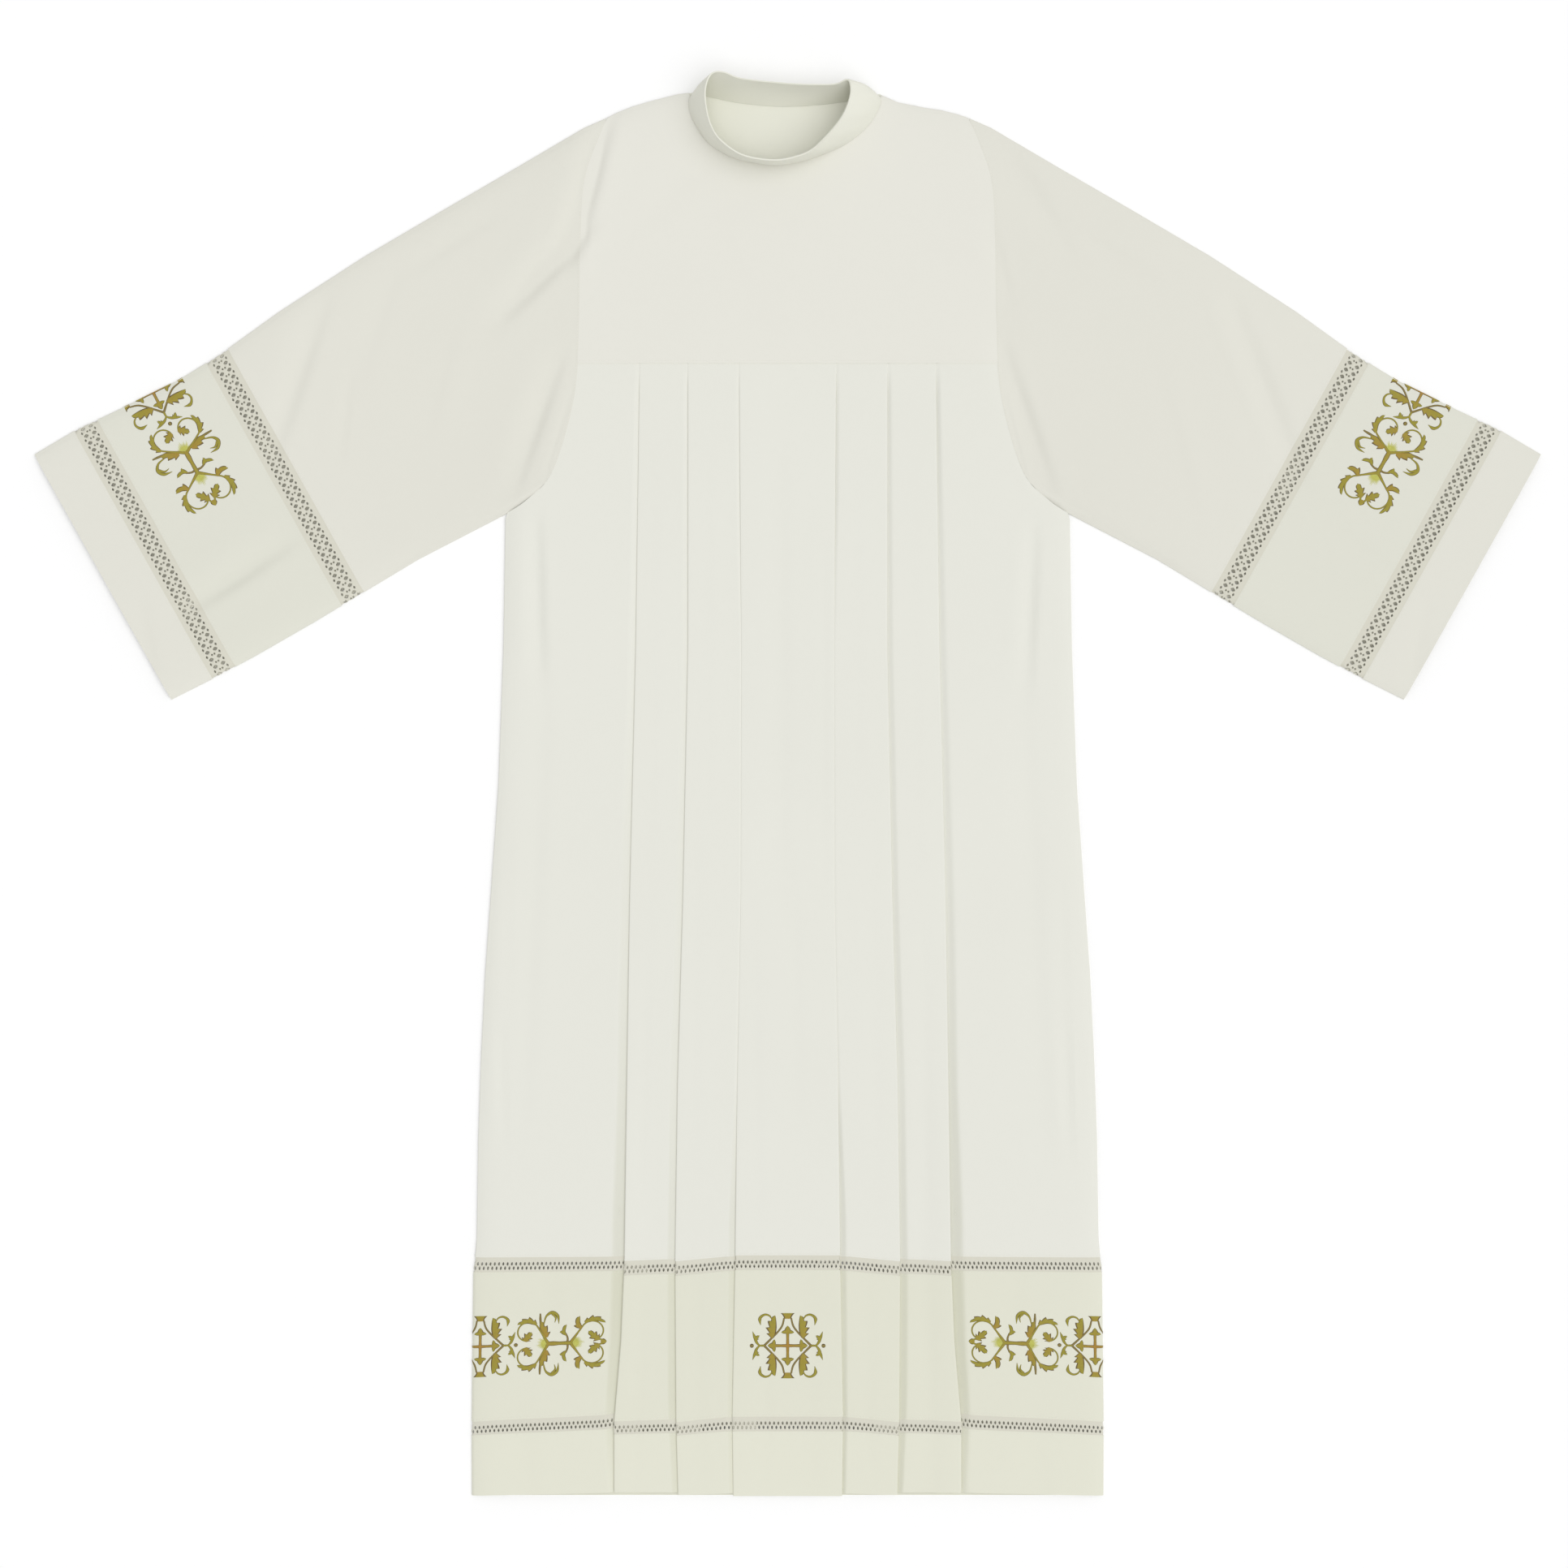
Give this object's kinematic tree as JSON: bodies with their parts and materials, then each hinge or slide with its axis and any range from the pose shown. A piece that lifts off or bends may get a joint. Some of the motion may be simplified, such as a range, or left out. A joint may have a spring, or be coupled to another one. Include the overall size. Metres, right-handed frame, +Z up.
{
  "type": "alb robe",
  "caption": "Long white alb laid flat, pleated front, stand collar, wide sleeves with lace insertions and gold-olive embroidered bands.",
  "frame": {"origin": "under the middle of the robe's box, on the surface that it lies on", "axes": "+X across the robe from sleeve to sleeve, +Y up to the collar, +Z up from the surface"},
  "size_m": [1.5306, 1.4377, 0.0385],
  "materials": {
    "cream_cloth": "matte woven cloth with a faint sheen",
    "band_cloth": "matte woven cloth, embroidered in gold-olive thread",
    "ecru_lace": "matte openwork cotton lace"
  },
  "bodies": {
    "root": {"back": "cream_cloth", "front": "cream_cloth", "front_yoke": "cream_cloth", "collar": "cream_cloth", "hem_lace_upper": "ecru_lace", "hem_band": "band_cloth", "hem_lace_lower": "ecru_lace", "hem_border": "band_cloth", "sleeve_left": "cream_cloth", "sleeve_left_lace_upper": "ecru_lace", "sleeve_left_band": "band_cloth", "sleeve_left_lace_lower": "ecru_lace", "sleeve_left_cuff": "cream_cloth", "sleeve_right": "cream_cloth", "sleeve_right_lace_upper": "ecru_lace", "sleeve_right_band": "band_cloth", "sleeve_right_lace_lower": "ecru_lace", "sleeve_right_cuff": "cream_cloth"}
  },
  "joints": []
}
